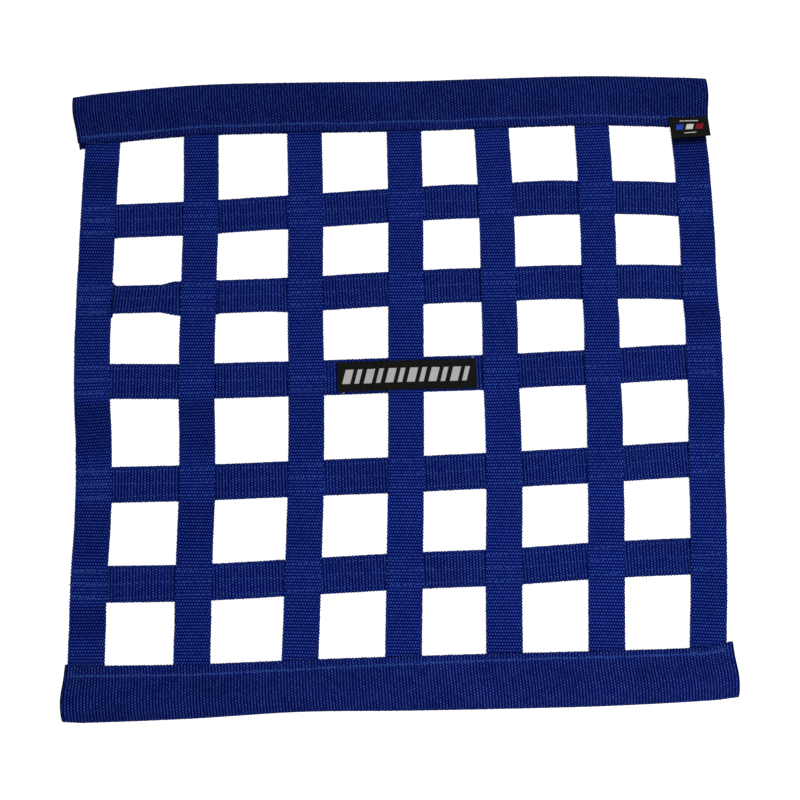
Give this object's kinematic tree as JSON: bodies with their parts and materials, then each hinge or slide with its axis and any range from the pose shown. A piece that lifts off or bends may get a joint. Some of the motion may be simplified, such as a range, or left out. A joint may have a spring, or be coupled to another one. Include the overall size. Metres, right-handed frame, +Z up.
{
  "type": "racing window net of webbing straps",
  "caption": "Flat net of crossing webbing straps sewn between two rod sleeves, which covers a race car's window opening.",
  "frame": {"origin": "on the surface that the net lies on, under the middle of its outline", "axes": "+X along the rod sleeves, to the right in the picture; +Y across the net to the top sleeve; +Z up, out of the net's face"},
  "size_m": [0.4776, 0.464, 0.0128],
  "materials": {
    "sleeve_webbing": "ribbed woven webbing, 76 mm wide, royal blue",
    "strap_webbing": "ribbed woven webbing, 25 mm wide, royal blue",
    "woven_label": "fine woven label, black",
    "sewing_thread": "bonded sewing thread, lighter blue"
  },
  "bodies": {
    "root": {"sleeve_top": "sleeve_webbing", "sleeve_bottom": "sleeve_webbing", "strap_v1": "strap_webbing", "strap_v2": "strap_webbing", "strap_v3": "strap_webbing", "strap_v4": "strap_webbing", "strap_v5": "strap_webbing", "strap_v6": "strap_webbing", "strap_v7": "strap_webbing", "strap_h1": "strap_webbing", "strap_h2": "strap_webbing", "strap_h3": "strap_webbing", "strap_h4": "strap_webbing", "strap_h5": "strap_webbing", "label_patch": "woven_label", "side_tag": "woven_label"}
  },
  "joints": []
}
